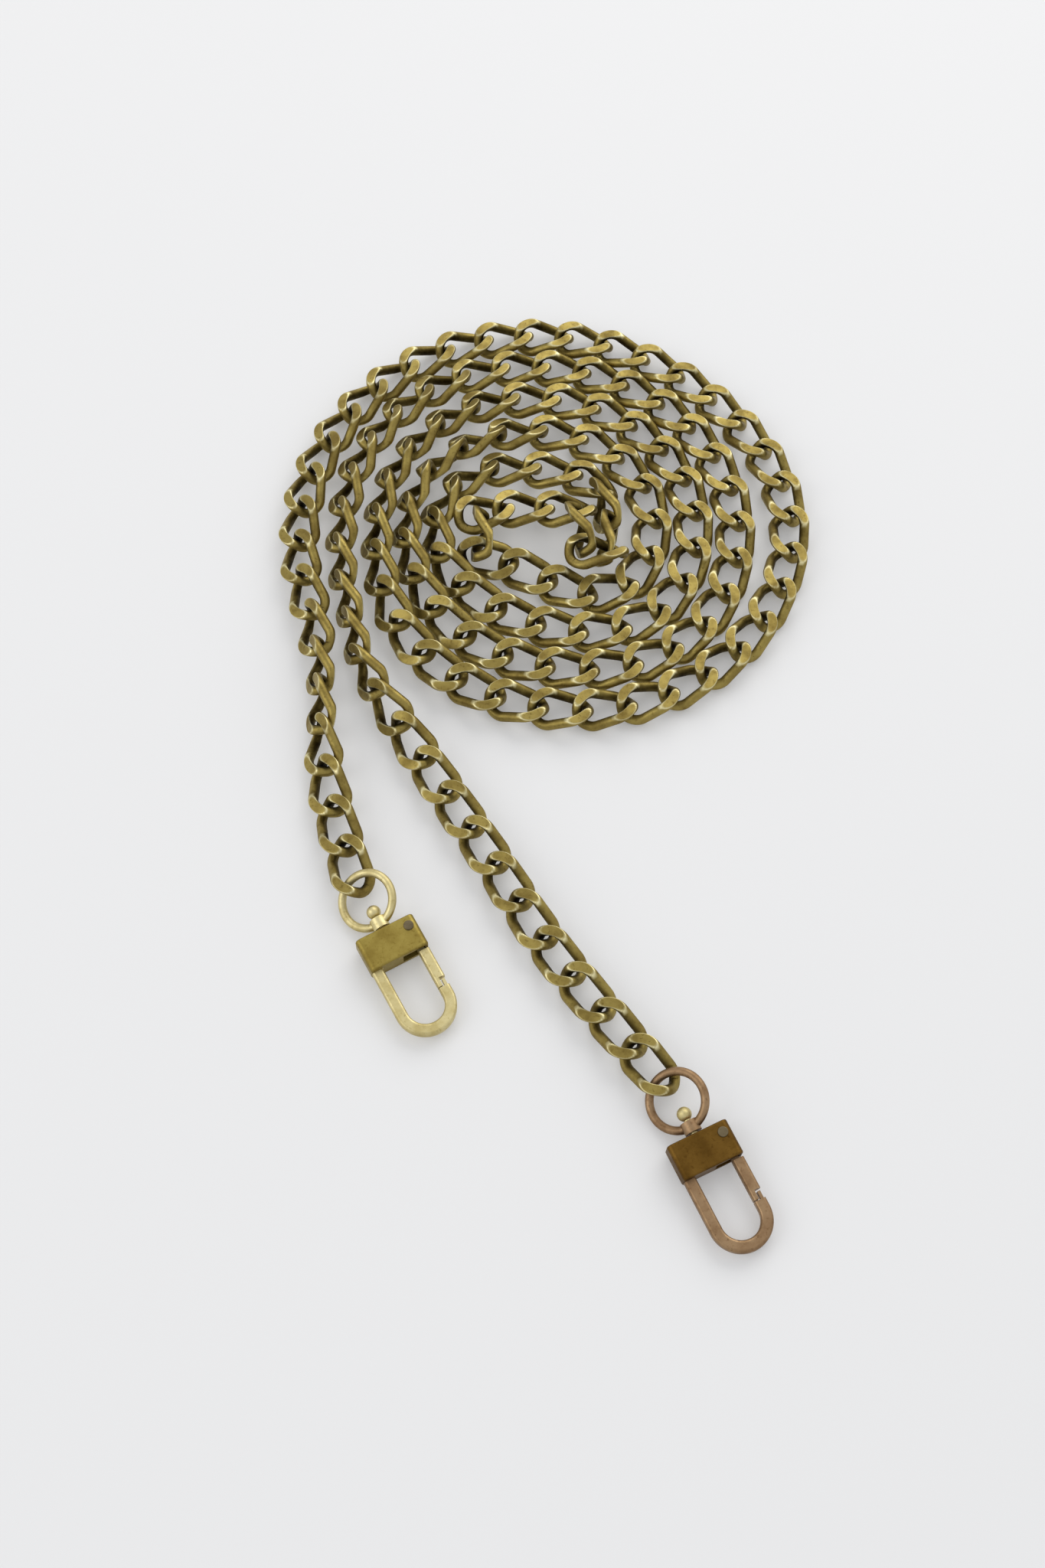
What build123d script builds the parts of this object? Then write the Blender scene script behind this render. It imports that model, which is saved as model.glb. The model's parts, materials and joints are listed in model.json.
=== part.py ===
from build123d import *

import os
from math import cos, dist, radians, sin, tan

# Flat curb chain with a swivel snap clasp on each end, folded at its middle and coiled.
#
# Millimetres. Z is up, the chain rests on Z = 0 and the origin is the middle of its footprint.
# The two halves of the chain lie side by side round one centre. Each half is given as stations
# along it: a place, and how far the flat links lean over there.

os.makedirs("parts", exist_ok=True)

# one link: round wire bent to an oval, twisted, then filed flat on both faces
wire = 1.8
face = 1.65
side_x, side_y, side_z = 2.9, 2.8, 1.45
end_x, end_y, end_z = 5.0, 0.95, 1.3

# spacing of the links along each half of the chain
spacing_a = 7.89
spacing_b = 7.93

# the middle of the footprint, in the coordinates of the layout below
footprint = (4.05, 9.9, -0.378)
coil_x, coil_y = 3.5, 54.0
floor_gap = 0.05

# half A from its free end inwards: x, y, height, roll
tail_a = [(-28.0, -20.4, 2.4, -8), (-30.4, -12.8, 2.3, -10), (-32.8, -5.0, 2.4, -18),
          (-34.4, 2.8, 2.8, -36), (-35.2, 10.6, 3.6, -58), (-35.6, 18.4, 3.85, -76),
          (-36.4, 24.6, 3.85, -66)]
# in the coil: angle clockwise from the left, radius, lean towards the middle
coil_a = [(-30, 46.6, 40), (-12, 45.3, 26), (0, 44.8, 18), (22, 44.2, 14), (45, 44.1, 10),
          (67, 44.1, 5), (90, 43.8, 3), (135, 43.1, 0), (180, 46.2, 0), (225, 44.2, 0),
          (270, 39.8, 3), (300, 37.0, 18), (315, 35.2, 34), (337, 32.0, 50), (360, 30.2, 60),
          (382, 29.4, 50), (405, 28.8, 42), (427, 28.6, 24), (450, 28.3, 6), (495, 27.9, 2),
          (540, 28.4, 2), (585, 28.9, 2), (630, 22.9, 5), (652, 21.6, 14), (675, 21.0, 34),
          (697, 20.7, 52), (720, 19.6, 54)]
inner_a = [(-12.6, 60.6, 3.6, -44), (-8.0, 64.4, 3.3, -34), (1.6, 65.6, 2.5, -10),
           (9.8, 64.3, 2.4, -8), (17.0, 58.8, 2.9, -16)]

# the links where the chain doubles back: x, y, height, heading, climb, roll
folds = [(15.0, 56.4, 3.9, -76, 0, 76), (15.6, 49.0, 3.8, -98, 0, 90),
         (13.5, 44.8, 5.8, 178, 0, 20), (10.6, 50.0, 5.6, 104, 0, -92),
         (8.0, 55.3, 4.0, 178, 0, 14), (0.2, 55.4, 4.0, 182, 4, 10),
         (-7.1, 54.0, 4.8, 200, 10, 3), (-7.5, 49.3, 4.8, 272, 6, 82),
         (-6.4, 45.1, 2.9, -16, 0, 26)]

# half B from the folds outwards
inner_b = [(-2.6, 44.0, 2.7, 22), (4.4, 40.6, 2.2, 10)]
coil_b = [(968, 17.5, 4), (945, 21.2, 3), (900, 20.8, 2), (855, 20.35, 3), (810, 20.4, 10),
          (787, 20.6, 34), (765, 21.8, 50), (742, 23.6, 58), (720, 25.0, 64), (697, 26.0, 56),
          (675, 27.9, 38), (660, 29.2, 20), (630, 31.2, 4), (585, 36.6, 1), (540, 36.1, 0),
          (495, 35.4, 1), (450, 36.1, 4), (427, 36.4, 16), (405, 36.4, 30), (382, 36.5, 42),
          (360, 36.7, 55), (338, 38.8, 70), (320, 42.4, 76)]
tail_b = [(-29.4, 22.8, 3.85, 70), (-25.2, 16.2, 3.7, 62), (-20.4, 8.8, 3.0, 38),
          (-15.8, 1.4, 2.5, 20), (-11.3, -5.6, 2.3, 18), (-7.0, -12.4, 2.3, 18),
          (-2.9, -19.2, 2.3, 18), (1.2, -26.2, 2.3, 18), (5.8, -33.2, 2.3, 15),
          (10.8, -39.8, 2.3, 12), (15.5, -45.8, 2.4, 10), (24.6, -57.1, 2.5, 6)]

# loose links at each free end, and links per group in the coil
loose_a = 6
loose_b = 10
group_size = 5

# swivel clasps: middle of the ring, and which way the clasp points
clasps = {"left": ((-26.0, -22.9), -61), "right": ((24.6, -57.6), -64)}
clasp_height = 2.55
clasp_dip = 3
ring_roll = 28
ring_radius, ring_wire = 4.7, 0.7
boss_radius = 1.45
stud_radius, ball_radius = 0.6, 1.2
collar_start, collar_end = 6.1, 12.1
collar_width, collar_depth = 10.6, 4.2
loop_width, band, band_depth = 10.2, 1.8, 2.0
loop_end = 26.0
pin_x, pin_y, pin_radius = 7.9, 3.75, 0.6
gate_tip = 19.4
play = 0.15


def smooth(stations, steps=6):
    """Pass a smooth run through the stations."""
    first, last = stations[0], stations[-1]
    before = tuple(2 * a - b for a, b in zip(first, stations[1]))
    after = tuple(2 * a - b for a, b in zip(last, stations[-2]))
    every = [before, *stations, after]
    run = []
    for p0, p1, p2, p3 in zip(every, every[1:], every[2:], every[3:]):
        for step in range(steps):
            t = step / steps
            run.append(tuple(
                b + 0.5 * ((c - a) * t + (2 * a - 5 * b + 4 * c - d) * t**2
                           + (3 * b - a - 3 * c + d) * t**3)
                for a, b, c, d in zip(p0, p1, p2, p3)))
    return [*run, last]


def around(stations, side):
    """Turn coil stations into x, y, height and roll; the height is where a leaning link rests."""
    run = []
    for angle, radius, lean in smooth(stations):
        height = face * cos(radians(lean)) + (wire / 2 + 2.45) * sin(radians(lean))
        run.append((coil_x - radius * cos(radians(angle)), coil_y + radius * sin(radians(angle)),
                    min(3.8, height) + floor_gap, side * lean))
    return run


def step_along(route, spacing):
    """Walk along the route in straight steps of one link spacing."""
    joints = [route[0]]
    for near, far in zip(route, route[1:]):
        while dist(far[:3], joints[-1][:3]) >= spacing:
            low, high = 0.0, 1.0
            for _ in range(30):
                t = (low + high) / 2
                place = tuple(a + (b - a) * t for a, b in zip(near, far))
                if dist(place[:3], joints[-1][:3]) < spacing:
                    low = t
                else:
                    high = t
            joints.append(place)
            near = place
    return joints


def link_place(middle, ahead, roll):
    """Lie a link along a direction; roll lifts its left side."""
    left = Vector(0, 0, 1).cross(ahead).normalized()
    origin = middle - Vector(*footprint)
    return Plane(origin=origin, x_dir=ahead, z_dir=ahead.cross(left)).location * Rotation(roll, 0, 0)


def links_between(joints):
    places = []
    for start, end in zip(joints, joints[1:]):
        a, b = Vector(*start[:3]), Vector(*end[:3])
        places.append(link_place((a + b) / 2, (b - a).normalized(), (start[3] + end[3]) / 2))
    return places


half_a = links_between(step_along(smooth(tail_a) + around(coil_a, -1) + smooth(inner_a), spacing_a))
half_b = links_between(step_along(smooth(inner_b) + around(coil_b, 1) + smooth(tail_b), spacing_b))
turns = []
for x, y, height, heading, climb, roll in folds:
    ahead = Vector(1, 0, 0).rotate(Axis.Y, -climb).rotate(Axis.Z, heading)
    turns.append(link_place(Vector(x, y, height), ahead, roll))

# the link ------------------------------------------------------------------------------------
corners = [(0, side_y, 0), (side_x, side_y, -side_z), (end_x, end_y, -end_z),
           (end_x, -end_y, end_z), (side_x, -side_y, side_z), (0, -side_y, 0)]


def widest_bends(points):
    """The largest bend radius each corner has room for."""
    places = [Vector(*point) for point in points]
    bends = []
    for a, b, c in zip(places, places[1:], places[2:]):
        before = (b - a).length * (1 if a is places[0] else 0.5)
        after = (c - b).length * (1 if c is places[-1] else 0.5)
        turn = radians((b - a).get_angle(c - b))
        bends.append(0.97 * min(before, after) / tan(turn / 2))
    return bends


with BuildPart() as half_link:
    with BuildLine() as bend:
        FilletPolyline(*corners, radius=widest_bends(corners))
    with BuildSketch(Plane(origin=bend.line @ 0, z_dir=bend.line % 0)):
        Circle(wire / 2)
    sweep()

with BuildPart() as link:
    add(half_link.part)
    add(half_link.part.rotate(Axis.Z, 180))
    split(bisect_by=Plane.XY.offset(face), keep=Keep.BOTTOM)
    split(bisect_by=Plane.XY.offset(-face), keep=Keep.TOP)


def save_links(name, places):
    with BuildPart() as links:
        with Locations(*places):
            add(link.part)
    links.part.label = name
    export_step(links.part, f"parts/{name}.step")


for number, place in enumerate(half_a[:loose_a], 1):
    save_links(f"left_tail_link_{number:02d}", [place])

coiled = half_a[loose_a:] + turns + half_b[:-loose_b]
for number, first in enumerate(range(0, len(coiled), group_size), 1):
    save_links(f"coil_links_{number:02d}", coiled[first:first + group_size])

for number, place in enumerate(reversed(half_b[-loose_b:]), 1):
    save_links(f"right_tail_link_{number:02d}", [place])

# the clasp, pointing along +X with the ring centred on the origin --------------------------------
half_loop = loop_width / 2
bow_x = loop_end - half_loop
leg_y = half_loop - band / 2

with BuildPart() as end_ring:
    Torus(ring_radius, ring_wire)
    with Locations(Location((ring_radius, 0, 0), (0, 90, 0))):
        Cylinder(boss_radius, 1.9)
        Cylinder(stud_radius + play, 3, mode=Mode.SUBTRACT)
    fillet(end_ring.edges().filter_by(GeomType.CIRCLE).sort_by(Axis.X)[-1], 0.1)

with BuildPart() as swivel_stud:
    with Locations((2.4, 0, 0)):
        Sphere(ball_radius)
    with Locations(Location((2.4, 0, 0), (0, 90, 0))):
        Cylinder(stud_radius, collar_start + 1.2 - 2.4, align=(Align.CENTER, Align.CENTER, Align.MIN))

with BuildPart() as collar:
    with Locations(((collar_start + collar_end) / 2, 0, 0)):
        Box(collar_end - collar_start, collar_width, collar_depth)
    fillet(collar.edges().filter_by(Axis.X), 0.9)
    fillet(collar.edges().group_by(Axis.X)[0] + collar.edges().group_by(Axis.X)[-1], 0.3)
    # room for the root of the gate to swing inwards
    with BuildSketch(Plane.XY.offset(-1.2)):
        Polygon((6.9, 4.65), (12.2, 4.65), (12.2, 0.5), (9.2, 2.1), (6.9, 2.7), align=None)
    extrude(amount=2.4, mode=Mode.SUBTRACT)
    # socket of the fixed leg
    with Locations((collar_end, -leg_y + 0.35, 0)):
        Box(3.2, 1.5, 1.6, align=(Align.MAX, Align.CENTER, Align.CENTER), mode=Mode.SUBTRACT)
    # holes for the gate pin and the stud
    with Locations((pin_x, pin_y, 0)):
        Cylinder(pin_radius, collar_depth + 1, mode=Mode.SUBTRACT)
    with Locations(Location((collar_start - 0.1, 0, 0), (0, 90, 0))):
        Cylinder(stud_radius, 1.3, align=(Align.CENTER, Align.CENTER, Align.MIN), mode=Mode.SUBTRACT)

with BuildPart() as hook_loop:
    with BuildLine():
        start = Line((collar_end + 0.02, -leg_y), (bow_x, -leg_y))
        RadiusArc(start @ 1, (bow_x, leg_y), -leg_y)
        Line((bow_x, leg_y), (gate_tip + play, leg_y))
    with BuildSketch(Plane(origin=start @ 0, z_dir=(1, 0, 0))):
        RectangleRounded(band, band_depth, 0.5)
    sweep()
    with Locations((collar_end + 0.02, -leg_y + 0.35, 0)):
        Box(3.1, 1.46, 1.56, align=(Align.MAX, Align.CENTER, Align.CENTER))
    # the lip that the gate closes against
    with Locations((gate_tip + play + 0.3, half_loop - 0.45, 0)):
        Box(1.6, 0.5, 1.2, align=(Align.MAX, Align.CENTER, Align.CENTER))

with BuildPart() as gate:
    with BuildSketch(Plane(origin=(collar_end + 0.3, leg_y, 0), z_dir=(1, 0, 0))):
        RectangleRounded(band, band_depth, 0.5)
    extrude(amount=gate_tip - collar_end - 0.3)
    # root inside the collar, turning on the pin
    with BuildSketch(Plane.XY.offset(-0.95)):
        Polygon((pin_x, pin_y - 0.8), (collar_end + 0.4, leg_y - 0.85),
                (collar_end + 0.4, leg_y + 0.3), (pin_x, pin_y + 0.75), align=None)
        with Locations((pin_x, pin_y)):
            Circle(0.8)
    extrude(amount=1.3)
    with Locations((pin_x, pin_y, 0)):
        Cylinder(pin_radius + 0.08, 4, mode=Mode.SUBTRACT)
    # the step that clears the lip
    with Locations((gate_tip - 1.5, half_loop + 0.1, 0)):
        Box(3, 1.15, 3, align=(Align.MIN, Align.MAX, Align.CENTER), mode=Mode.SUBTRACT)

with BuildPart() as gate_pin:
    with Locations((pin_x, pin_y, 0)):
        Cylinder(pin_radius, collar_depth)
    for end in (1, -1):
        with Locations((pin_x, pin_y, end * (collar_depth / 2 + 0.11))):
            Cylinder(0.85, 0.22)
    fillet(gate_pin.faces().sort_by(Axis.Z)[-1].edges() + gate_pin.faces().sort_by(Axis.Z)[0].edges(), 0.12)

with BuildPart() as gate_spring:
    with BuildLine(Plane((pin_x, pin_y, 0.6))) as coil:
        Helix(pitch=0.32, height=0.4, radius=0.83)
    with BuildSketch(Plane(origin=coil.line @ 0, z_dir=coil.line % 0)):
        Circle(0.12)
    sweep()

pieces = {"end_ring": end_ring, "swivel_stud": swivel_stud, "collar": collar,
          "hook_loop": hook_loop, "gate": gate, "gate_pin": gate_pin, "gate_spring": gate_spring}

for side, ((x, y), heading) in clasps.items():
    middle = Vector(x, y, clasp_height) - Vector(*footprint)
    place = Location(middle, (0, 0, heading)) * Rotation(0, clasp_dip, 0)
    for name, piece in pieces.items():
        roll = Rotation(ring_roll if name == "end_ring" else 0, 0, 0)
        solid = place * roll * piece.part
        solid.label = f"{side}_{name}"
        export_step(solid, f"parts/{solid.label}.step")
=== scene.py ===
"""Looks of the antique brass curb chain: its links, its clasps, the table and the light."""
from math import radians

import bpy
import numpy as np
from mathutils import Matrix, Vector
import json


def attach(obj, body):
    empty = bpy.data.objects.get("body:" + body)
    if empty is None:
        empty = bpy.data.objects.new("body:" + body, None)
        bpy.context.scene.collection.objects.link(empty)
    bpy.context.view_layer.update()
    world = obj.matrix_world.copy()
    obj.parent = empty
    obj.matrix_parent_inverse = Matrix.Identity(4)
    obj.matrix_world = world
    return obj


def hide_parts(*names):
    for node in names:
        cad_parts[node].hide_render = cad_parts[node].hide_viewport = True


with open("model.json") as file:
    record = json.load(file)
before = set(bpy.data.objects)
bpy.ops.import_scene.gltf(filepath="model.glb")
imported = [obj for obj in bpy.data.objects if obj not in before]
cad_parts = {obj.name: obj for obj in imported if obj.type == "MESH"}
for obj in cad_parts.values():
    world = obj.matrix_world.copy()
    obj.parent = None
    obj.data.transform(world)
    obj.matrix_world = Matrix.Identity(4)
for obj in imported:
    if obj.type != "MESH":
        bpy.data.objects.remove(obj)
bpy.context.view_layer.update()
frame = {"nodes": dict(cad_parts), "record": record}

MM = 0.001
# one link in millimetres: wire thickness, height of the filed faces, and the bends of the wire
WIRE = 1.8
FACE = 1.65
SIDE_X, SIDE_Y, SIDE_Z = 2.9, 2.8, 1.45
END_X, END_Y, END_Z = 5.0, 0.95, 1.3
HALF_WAY = [(SIDE_X, SIDE_Y, -SIDE_Z), (END_X, END_Y, -END_Z),
            (END_X, -END_Y, END_Z), (SIDE_X, -SIDE_Y, SIDE_Z)]
CORNERS = HALF_WAY + [(-x, -y, z) for x, y, z in HALF_WAY]
# part of the shorter run that a bend takes on each side of its corner
BEND_SHARE = 0.485
# how far the rubbed border of a filed face, its painted highlight line and its worn middle, kept clear
# of the painted shade, reach
RUBBED, BRIGHT, FILED = 0.10, 0.11, 0.12
TABLE_GAP = 0.0003


# --- shader helpers -----------------------------------------------------------------------------
class Signal:
    """A shader value that can be used in ordinary sums."""

    def __init__(self, paint, socket):
        self.paint = paint
        self.socket = socket

    def maths(self, operation, *others):
        return Signal(self.paint, self.paint.node(
            "ShaderNodeMath", {"operation": operation}, list(others)).outputs[0])

    def __add__(self, other):
        return self.maths("ADD", self, other)

    def __sub__(self, other):
        return self.maths("SUBTRACT", self, other)

    def __rsub__(self, other):
        return self.maths("SUBTRACT", other, self)

    def __mul__(self, other):
        return self.maths("MULTIPLY", self, other)

    def clamp(self):
        return self.paint.ramp(self, 0, 1)

    __radd__ = __add__
    __rmul__ = __mul__


class Paint:
    """A material whose nodes come from one method."""

    def __init__(self, name, **fixed):
        self.material = bpy.data.materials.new(name)
        self.material.use_nodes = True
        self.tree = self.material.node_tree
        self.shader = self.tree.nodes["Principled BSDF"]
        for key, value in fixed.items():
            self.shader.inputs[key.replace("_", " ")].default_value = value

    def node(self, kind, settings=(), inputs=()):
        made = self.tree.nodes.new(kind)
        for key, value in dict(settings).items():
            setattr(made, key, value)
        pairs = inputs.items() if isinstance(inputs, dict) else enumerate(inputs)
        for key, value in pairs:
            self.feed(made.inputs[key], value)
        return made

    def feed(self, socket, value):
        if isinstance(value, Signal):
            self.tree.links.new(value.socket, socket)
        else:
            socket.default_value = value

    def attribute(self, name):
        made = self.node("ShaderNodeAttribute", {"attribute_name": name})
        return Signal(self, made.outputs["Fac"])

    def place(self):
        return Signal(self, self.node("ShaderNodeTexCoord").outputs["Object"])

    def noise(self, scale, detail=3, rough=0.55):
        made = self.node("ShaderNodeTexNoise", {}, {
            "Vector": self.place(), "Scale": scale, "Detail": detail, "Roughness": rough})
        return Signal(self, made.outputs["Fac"])

    def ramp(self, value, low, high):
        made = self.node("ShaderNodeMapRange", {"clamp": True}, {
            "Value": value, "From Min": low, "From Max": high})
        return Signal(self, made.outputs[0])

    def mix(self, amount, first, second, blend="MIX"):
        made = self.node("ShaderNodeMix", {"data_type": "RGBA", "blend_type": blend},
                         {0: amount, 6: first, 7: second})
        return Signal(self, made.outputs[2])

    def bump(self, height, strength, distance):
        made = self.node("ShaderNodeBump", {}, {
            "Strength": strength, "Distance": distance, "Height": height})
        return Signal(self, made.outputs[0])

    def out(self, **sockets):
        for key, value in sockets.items():
            self.feed(self.shader.inputs[key.replace("_", " ")], value)
        return self.material


def tone(red, green, blue):
    """A colour from 0-255 screen values."""
    return tuple((c / 255) ** 2.2 for c in (red, green, blue)) + (1.0,)


# --- metals -------------------------------------------------------------------------------------
def antique_brass(name, body, dark, bright, highlight_attribute="edge", shade_attribute="deep"):
    paint = Paint(name, Metallic=1.0)
    blotch = paint.ramp(paint.noise(260, 4, 0.6), 0.38, 0.66)
    speck = paint.ramp(paint.noise(1500, 3, 0.7), 0.56, 0.70)
    grain = paint.noise(5200, 2, 0.5)
    # mask of the painted highlight along the borders of the filed faces
    edge = paint.attribute(highlight_attribute)
    # mask of the painted shade on the inner side of the wire
    deep = paint.attribute(shade_attribute)
    colour = paint.mix(blotch * 0.6, body, dark)
    colour = paint.mix(speck * 0.65, colour, dark)
    # painted shade: blend to dark brown there, more under the patina blotches
    colour = paint.mix((deep * (0.75 + 0.35 * blotch)).clamp(), colour, tone(38, 28, 10))
    # painted highlight: blend to pale brass there, less under the patina blotches
    colour = paint.mix((edge * (1.0 - 0.6 * blotch)).clamp(), colour, bright)
    rough = 0.36 + 0.16 * blotch + 0.10 * grain + 0.12 * deep - 0.08 * edge
    height = 0.6 * blotch + 0.3 * grain
    return paint.out(Base_Color=colour, Roughness=rough, Normal=paint.bump(height, 0.18, 0.00004))


chain_brass = antique_brass("chain_brass", tone(154, 136, 76), tone(98, 80, 40), tone(232, 222, 172))
pale_brass = antique_brass("pale_brass", tone(214, 200, 148), tone(168, 150, 92), tone(246, 238, 205))
olive_brass = antique_brass("olive_brass", tone(158, 140, 74), tone(118, 98, 44), tone(238, 226, 176))
umber_brass = antique_brass("umber_brass", tone(112, 84, 40), tone(74, 52, 22), tone(200, 170, 112))
russet_brass = antique_brass("russet_brass", tone(158, 130, 98), tone(108, 80, 54), tone(222, 202, 168))
old_steel = antique_brass("old_steel", tone(120, 108, 84), tone(60, 50, 34), tone(216, 206, 180))


# --- one link -----------------------------------------------------------------------------------
def rounded_loop(corners, per_bend=11, straight=4):
    """A closed path through the corners with the widest round bends that fit."""
    points = np.array(corners, float)
    path = []
    for i, corner in enumerate(points):
        back, ahead = points[i - 1] - corner, points[(i + 1) % len(points)] - corner
        to_back, to_ahead = np.linalg.norm(back), np.linalg.norm(ahead)
        reach = BEND_SHARE * min(to_back, to_ahead)
        start, end = corner + back / to_back * reach, corner + ahead / to_ahead * reach
        half = 0.5 * np.arccos(np.dot(back, ahead) / to_back / to_ahead)
        centre = corner + (back / to_back + ahead / to_ahead) * reach / (2 * np.cos(half) ** 2)
        a, b = start - centre, end - centre
        sweep = np.arccos(np.dot(a, b) / np.dot(a, a))
        for t in np.linspace(0, 1, per_bend):
            path.append(centre + (np.sin((1 - t) * sweep) * a + np.sin(t * sweep) * b) / np.sin(sweep))
        following = points[(i + 1) % len(points)]
        beyond = points[(i + 2) % len(points)] - following
        next_reach = BEND_SHARE * min(to_ahead, np.linalg.norm(beyond))
        stop = following + (corner - following) / to_ahead * next_reach
        for t in np.linspace(0, 1, straight + 2)[1:-1]:
            path.append(end + (stop - end) * t)
    return np.array(path)


def link_shape(around=30):
    """Vertices in metres, faces, and the masks of the link's painted highlight and painted shade."""
    path = rounded_loop(CORNERS)
    along = np.roll(path, -1, 0) - np.roll(path, 1, 0)
    along /= np.linalg.norm(along, axis=1)[:, None]
    outward = path * (1, 1, 0)
    outward -= along * np.sum(outward * along, 1)[:, None]
    outward /= np.linalg.norm(outward, axis=1)[:, None]
    other = np.cross(along, outward)
    angle = np.linspace(0, 2 * np.pi, around, endpoint=False)
    points = (path[:, None] + WIRE / 2 * (np.cos(angle)[None, :, None] * outward[:, None]
                                           + np.sin(angle)[None, :, None] * other[:, None]))
    height = np.abs(points[..., 2])
    over = height - FACE
    # the filed faces, with a slightly rubbed border
    border = (over - RUBBED) ** 2 / (4 * RUBBED)
    pressed = np.where(over > RUBBED, 0, np.where(over > -RUBBED, border, -over))
    flat = np.clip(over / FILED, 0, 1)
    # painted highlight: a bright line along the border of each filed face
    edge = np.exp(-(over / BRIGHT) ** 2)
    points[..., 2] = np.sign(points[..., 2]) * (FACE - pressed)
    # painted shade: darker on the inner side of the wire, more at the link ends where the next links
    # pass, none on the filed faces
    inward = -np.cos(angle)[None, :] * np.ones(len(path))[:, None]
    bow = np.clip((np.abs(path[:, 0]) - 3.4) / 1.2, 0, 1)[:, None]
    deep = np.clip(0.15 + 0.75 * inward + 0.35 * inward * bow, 0, 1) * (1 - flat)
    rows, columns = points.shape[:2]
    index = np.arange(rows * columns).reshape(rows, columns)
    faces = np.stack([index, np.roll(index, -1, 0), np.roll(np.roll(index, -1, 0), -1, 1),
                      np.roll(index, -1, 1)], -1).reshape(-1, 4)
    return points.reshape(-1, 3) * MM, faces, edge.reshape(-1), deep.reshape(-1)


def loose_parts(mesh):
    """Vertex numbers and triangles of each separate solid in a mesh."""
    count = len(mesh.vertices)
    edges = np.zeros(len(mesh.edges) * 2, int)
    mesh.edges.foreach_get("vertices", edges)
    edges = edges.reshape(-1, 2)
    co = np.zeros(count * 3)
    mesh.vertices.foreach_get("co", co)
    co = co.reshape(-1, 3)
    _, same = np.unique(np.round(co * 1e7).astype(np.int64), axis=0, return_inverse=True)
    group = same.reshape(-1).copy()
    while True:
        before = group.copy()
        low = np.minimum(group[edges[:, 0]], group[edges[:, 1]])
        np.minimum.at(group, edges[:, 0], low)
        np.minimum.at(group, edges[:, 1], low)
        least = np.full(count, count)
        np.minimum.at(least, same.reshape(-1), group)
        group = least[same.reshape(-1)]
        if np.array_equal(group, before):
            break
    mesh.calc_loop_triangles()
    triangles = np.zeros(len(mesh.loop_triangles) * 3, int)
    mesh.loop_triangles.foreach_get("vertices", triangles)
    triangles = triangles.reshape(-1, 3)
    for label in np.unique(group):
        yield co, triangles[group[triangles[:, 0]] == label]


def lie_of(co, triangles):
    """Middle and axes of one link: long, wide and thin."""
    a, b, c = (co[triangles[:, k]] for k in range(3))
    area = np.linalg.norm(np.cross(b - a, c - a), axis=1)
    middle = ((a + b + c) / 3 * area[:, None]).sum(0) / area.sum()
    spread = np.zeros((3, 3))
    for p, q in ((a, b), (b, c), (c, a)):
        half = (p + q) / 2 - middle
        spread += (half[:, :, None] * half[:, None, :] * area[:, None, None]).sum(0)
    _, axes = np.linalg.eigh(spread)
    long, wide = axes[:, 2], axes[:, 1]
    return middle, np.stack([long, wide, np.cross(long, wide)], 1)


def add_mesh(name, points, faces, material, **attributes):
    mesh = bpy.data.meshes.new(name)
    mesh.from_pydata(points.tolist(), [], faces.tolist())
    mesh.materials.append(material)
    for key, values in attributes.items():
        layer = mesh.attributes.new(key, "FLOAT", "POINT")
        layer.data.foreach_set("value", np.asarray(values, np.float32))
    mesh.shade_smooth()
    made = bpy.data.objects.new(name, mesh)
    bpy.context.scene.collection.objects.link(made)
    return made


link_points, link_faces, link_edge, link_deep = link_shape()
bodies = frame["record"]["behaviour"]["bodies"]
for body, nodes in bodies.items():
    for node in nodes:
        if "link" not in node:
            continue
        points, faces = [], []
        for co, triangles in loose_parts(frame["nodes"][node].data):
            middle, axes = lie_of(co, triangles)
            faces.append(link_faces + len(link_points) * len(points))
            points.append(link_points @ axes.T + middle)
        # the mesh carries the painted highlight and painted shade masks as attributes
        shown = add_mesh(f"{node}_wire", np.concatenate(points), np.concatenate(faces), chain_brass,
                         edge=np.tile(link_edge, len(points)), deep=np.tile(link_deep, len(points)))
        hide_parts(node)
        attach(shown, body)

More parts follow.
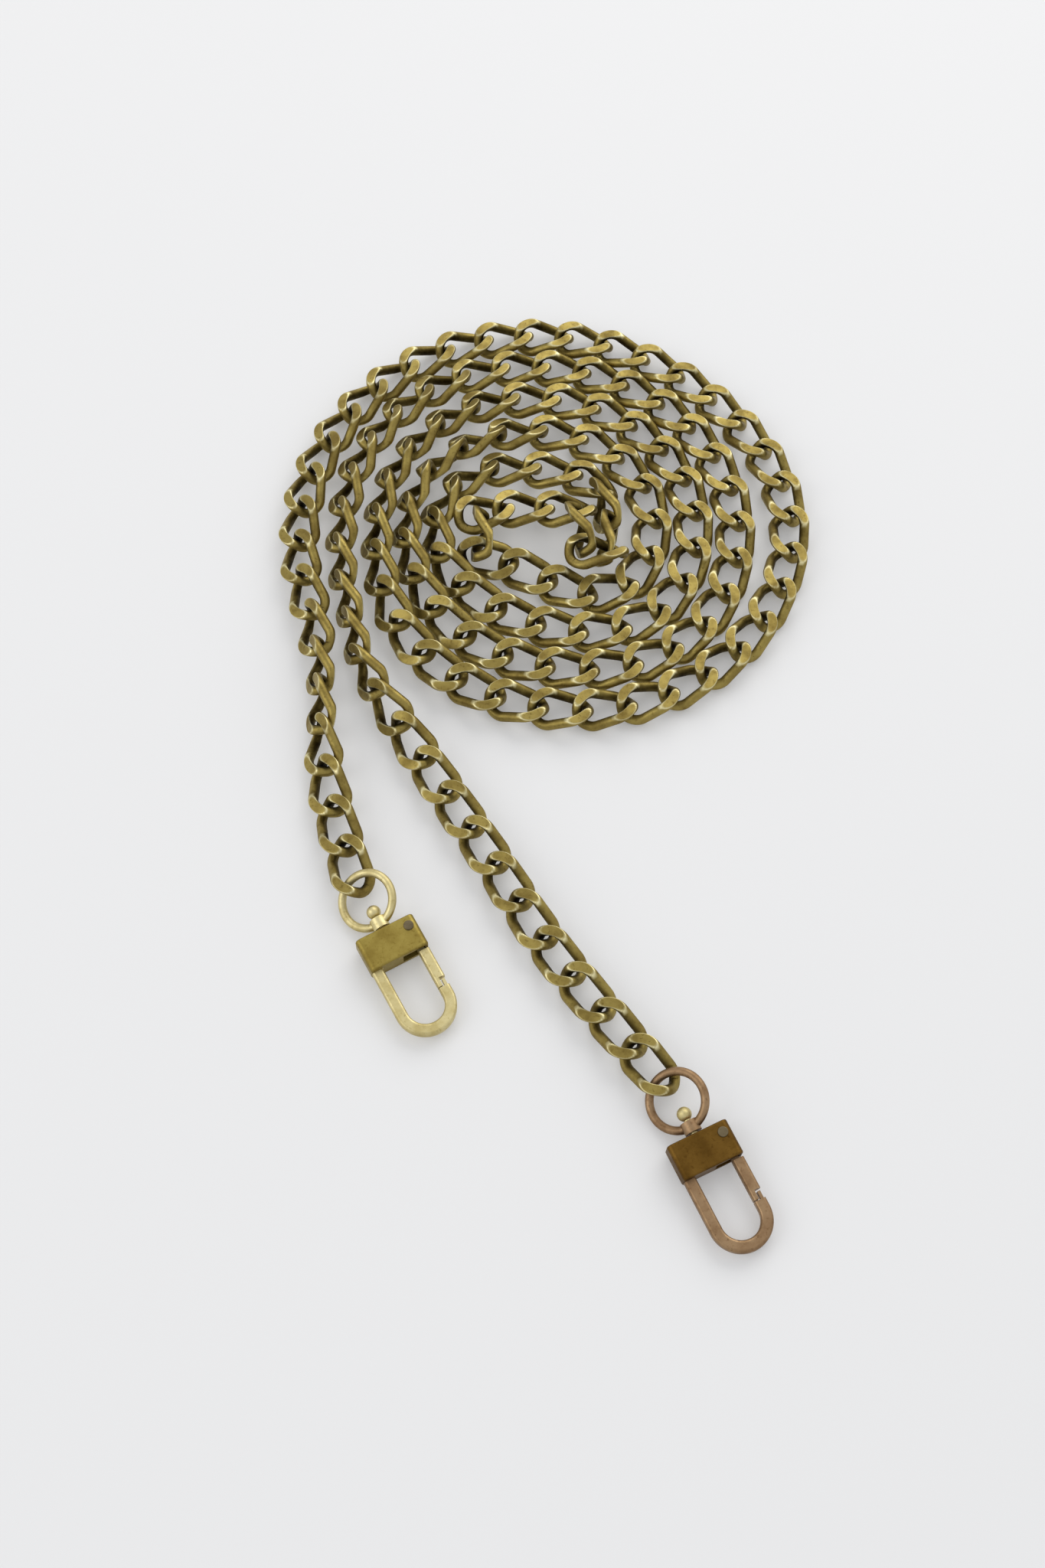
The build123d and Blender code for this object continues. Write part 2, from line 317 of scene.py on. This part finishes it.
# --- clasps -------------------------------------------------------------------------------------
finishes = {"left": {"end_ring": pale_brass, "collar": olive_brass, "hook_loop": pale_brass,
                     "gate": pale_brass, "swivel_stud": pale_brass, "gate_pin": old_steel,
                     "gate_spring": old_steel},
            "right": {"end_ring": russet_brass, "collar": umber_brass, "hook_loop": russet_brass,
                      "gate": russet_brass, "swivel_stud": pale_brass, "gate_pin": old_steel,
                      "gate_spring": old_steel}}
for side, parts in finishes.items():
    for part, material in parts.items():
        mesh = frame["nodes"][f"{side}_{part}"].data
        mesh.materials.clear()
        mesh.materials.append(material)

# --- table, light and camera --------------------------------------------------------------------
# the table top glows faintly: painted light that lifts the shade around the chain and lights it from
# below
table_paint = Paint("table", Base_Color=(0.58, 0.575, 0.565, 1), Roughness=0.65,
                    Emission_Color=(1.0, 0.995, 0.98, 1), Emission_Strength=0.18)
bpy.ops.mesh.primitive_plane_add(size=6, location=(0, 0, -TABLE_GAP))
table = bpy.context.object
table.name = "table_top"
table.data.materials.append(table_paint.material)

world = bpy.data.worlds.new("room")
bpy.context.scene.world = world
world.use_nodes = True
room_light = world.node_tree.nodes["Background"]
room_light.inputs["Color"].default_value = (0.93, 0.95, 1.0, 1)
room_light.inputs["Strength"].default_value = 0.85


def soft_light(name, place, aim, size, watts, colour):
    data = bpy.data.lights.new(name, "AREA")
    data.shape = "RECTANGLE"
    data.size, data.size_y = size
    data.energy = watts
    data.color = colour
    lamp = bpy.data.objects.new(name, data)
    lamp.location = place
    lamp.rotation_euler = (Vector(aim) - Vector(place)).to_track_quat("-Z", "Y").to_euler()
    bpy.context.scene.collection.objects.link(lamp)


soft_light("window", (0.35, 0.9, 0.75), (0, 0.05, 0), (1.2, 0.9), 6.5, (1.0, 0.99, 0.97))
soft_light("fill", (-0.9, -0.2, 0.7), (0, 0, 0), (0.8, 0.8), 2.5, (1.0, 1.0, 1.0))

camera = bpy.data.objects.new("camera", bpy.data.cameras.new("camera"))
camera.data.lens = 43.95
camera.data.clip_start = 0.01
camera.location = (-0.00405, -0.16084, 0.29718)
camera.rotation_euler = (radians(27), 0, 0)
bpy.context.scene.collection.objects.link(camera)
bpy.context.scene.camera = camera
bpy.context.scene.view_settings.view_transform = "Standard"
